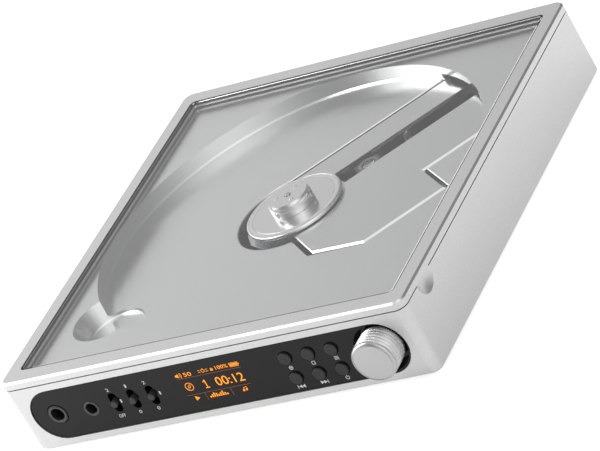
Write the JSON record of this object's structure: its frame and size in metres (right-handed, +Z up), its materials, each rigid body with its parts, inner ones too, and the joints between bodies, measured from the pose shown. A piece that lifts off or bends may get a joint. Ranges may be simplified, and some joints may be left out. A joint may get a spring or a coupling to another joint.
{
  "type": "portable cd player",
  "caption": "Flat square disc player with a hinged glass-windowed lid, an open disc well, front display panel, push buttons, slide switches, jacks and a volume knob.",
  "frame": {"origin": "under the middle of the whole box, on the surface that the feet stand on", "axes": "+X to the player's right, +Y to its back, +Z up"},
  "size_m": [0.15, 0.1642, 0.0275],
  "materials": {
    "blasted_aluminium": "fine bead-blasted, clear anodised",
    "satin_aluminium": "satin anodised, slightly reflective",
    "polished_metal": "mirror polished",
    "steel": "plain bright steel",
    "clear_glass": "clear, polished, coated",
    "gloss_black": "gloss black",
    "matte_black": "satin black, moulded",
    "black_rubber": "matt black",
    "board_green": "green solder mask",
    "battery_wrap": "heat-shrunk film"
  },
  "bodies": {
    "player": {"housing": "blasted_aluminium", "disc_well_deck": "satin_aluminium", "bottom_cover": "blasted_aluminium", "foot_front_left": "black_rubber", "foot_front_right": "black_rubber", "foot_back_left": "black_rubber", "foot_back_right": "black_rubber", "front_panel": "gloss_black", "display_module": "gloss_black", "balanced_headphone_jack": "matte_black", "headphone_jack": "matte_black", "line_out_jack": "matte_black", "digital_out_jack": "matte_black", "usb_power_port": "steel", "usb_data_port": "steel", "key_board": "board_green", "main_board": "board_green", "battery_pack": "battery_wrap", "knob_encoder": "steel", "switch_bank": "matte_black", "spindle_motor": "steel", "mechanism_chassis": "steel", "guide_rail_left": "polished_metal", "guide_rail_right": "polished_metal", "sled_motor": "steel", "damper_1": "black_rubber", "damper_2": "black_rubber", "damper_3": "black_rubber", "mechanism_cover": "satin_aluminium", "hinge_bracket_left": "steel", "hinge_bracket_right": "steel", "hinge_pin_left": "steel", "hinge_pin_right": "steel", "body_magnet": "steel"},
    "lid": {"lid_frame": "blasted_aluminium", "window_pane": "clear_glass", "window_gasket": "black_rubber", "lid_magnet": "steel"},
    "turntable": {"turntable_flange": "polished_metal", "disc_pad": "black_rubber", "centring_boss": "polished_metal", "spindle_shaft": "steel"},
    "chuck_ball_1": {"chuck_ball_1": "steel"},
    "chuck_ball_2": {"chuck_ball_2": "steel"},
    "chuck_ball_3": {"chuck_ball_3": "steel"},
    "pickup_sled": {"pickup_sled": "steel"},
    "lens": {"lens_holder": "matte_black", "objective_lens": "clear_glass"},
    "lead_screw": {"lead_screw": "polished_metal"},
    "volume_knob": {"volume_knob": "satin_aluminium"},
    "button_display": {"button_display": "matte_black"},
    "button_stop": {"button_stop": "matte_black"},
    "button_mode": {"button_mode": "matte_black"},
    "button_previous": {"button_previous": "matte_black"},
    "button_next": {"button_next": "matte_black"},
    "button_power": {"button_power": "matte_black"},
    "switch_slider_1": {"switch_slider_1": "matte_black"},
    "switch_slider_2": {"switch_slider_2": "matte_black"},
    "switch_slider_3": {"switch_slider_3": "matte_black"}
  },
  "joints": [
    {"name": "lid_hinge", "type": "hinge", "parent": "player", "child": "lid", "pos_m": [0, 0.08035, 0.02485], "axis": [-1, 0, 0], "range_deg": [0, 65]},
    {"name": "turntable_spin", "type": "hinge", "parent": "player", "child": "turntable", "pos_m": [0, 0.00325, 0.0205], "axis": [0, 0, 1], "continuous": true},
    {"name": "chuck_ball_1_press", "type": "slide", "parent": "turntable", "child": "chuck_ball_1", "axis": [0.9781, 0.2079, 0], "range_m": [-0.0005, 0], "stiffness_N_per_m": 300},
    {"name": "chuck_ball_2_press", "type": "slide", "parent": "turntable", "child": "chuck_ball_2", "axis": [-0.6691, 0.7431, 0], "range_m": [-0.0005, 0], "stiffness_N_per_m": 300},
    {"name": "chuck_ball_3_press", "type": "slide", "parent": "turntable", "child": "chuck_ball_3", "axis": [-0.309, -0.9511, 0], "range_m": [-0.0005, 0], "stiffness_N_per_m": 300},
    {"name": "sled_travel", "type": "slide", "parent": "player", "child": "pickup_sled", "axis": [0.7071, 0.7071, 0], "range_m": [-0.0042, 0.0313]},
    {"name": "lens_focus", "type": "slide", "parent": "pickup_sled", "child": "lens", "axis": [0, 0, 1], "range_m": [-0.0004, 0.0004], "stiffness_N_per_m": 60},
    {"name": "lead_screw_turn", "type": "hinge", "parent": "player", "child": "lead_screw", "pos_m": [0.01344, -0.01018, 0.0124], "axis": [0.7071, 0.7071, 0], "continuous": true},
    {"name": "volume_turn", "type": "hinge", "parent": "player", "child": "volume_knob", "pos_m": [0.0602, -0.07555, 0.01285], "axis": [0, -1, 0], "continuous": true},
    {"name": "button_display_press", "type": "slide", "parent": "player", "child": "button_display", "axis": [0, 1, 0], "range_m": [0, 0.00035], "stiffness_N_per_m": 300},
    {"name": "button_stop_press", "type": "slide", "parent": "player", "child": "button_stop", "axis": [0, 1, 0], "range_m": [0, 0.00035], "stiffness_N_per_m": 300},
    {"name": "button_mode_press", "type": "slide", "parent": "player", "child": "button_mode", "axis": [0, 1, 0], "range_m": [0, 0.00035], "stiffness_N_per_m": 300},
    {"name": "button_previous_press", "type": "slide", "parent": "player", "child": "button_previous", "axis": [0, 1, 0], "range_m": [0, 0.00035], "stiffness_N_per_m": 300},
    {"name": "button_next_press", "type": "slide", "parent": "player", "child": "button_next", "axis": [0, 1, 0], "range_m": [0, 0.00035], "stiffness_N_per_m": 300},
    {"name": "button_power_press", "type": "slide", "parent": "player", "child": "button_power", "axis": [0, 1, 0], "range_m": [0, 0.00035], "stiffness_N_per_m": 300},
    {"name": "switch_1_slide", "type": "slide", "parent": "player", "child": "switch_slider_1", "axis": [0, 0, 1], "range_m": [-0.0018, 0.0018]},
    {"name": "switch_2_slide", "type": "slide", "parent": "player", "child": "switch_slider_2", "axis": [0, 0, 1], "range_m": [-0.0018, 0.0018]},
    {"name": "switch_3_slide", "type": "slide", "parent": "player", "child": "switch_slider_3", "axis": [0, 0, 1], "range_m": [-0.0018, 0.0018]}
  ],
  "couplings": [
    {"joint": "lead_screw_turn", "follows": "sled_travel", "rad_per_m": -1570.8}
  ]
}
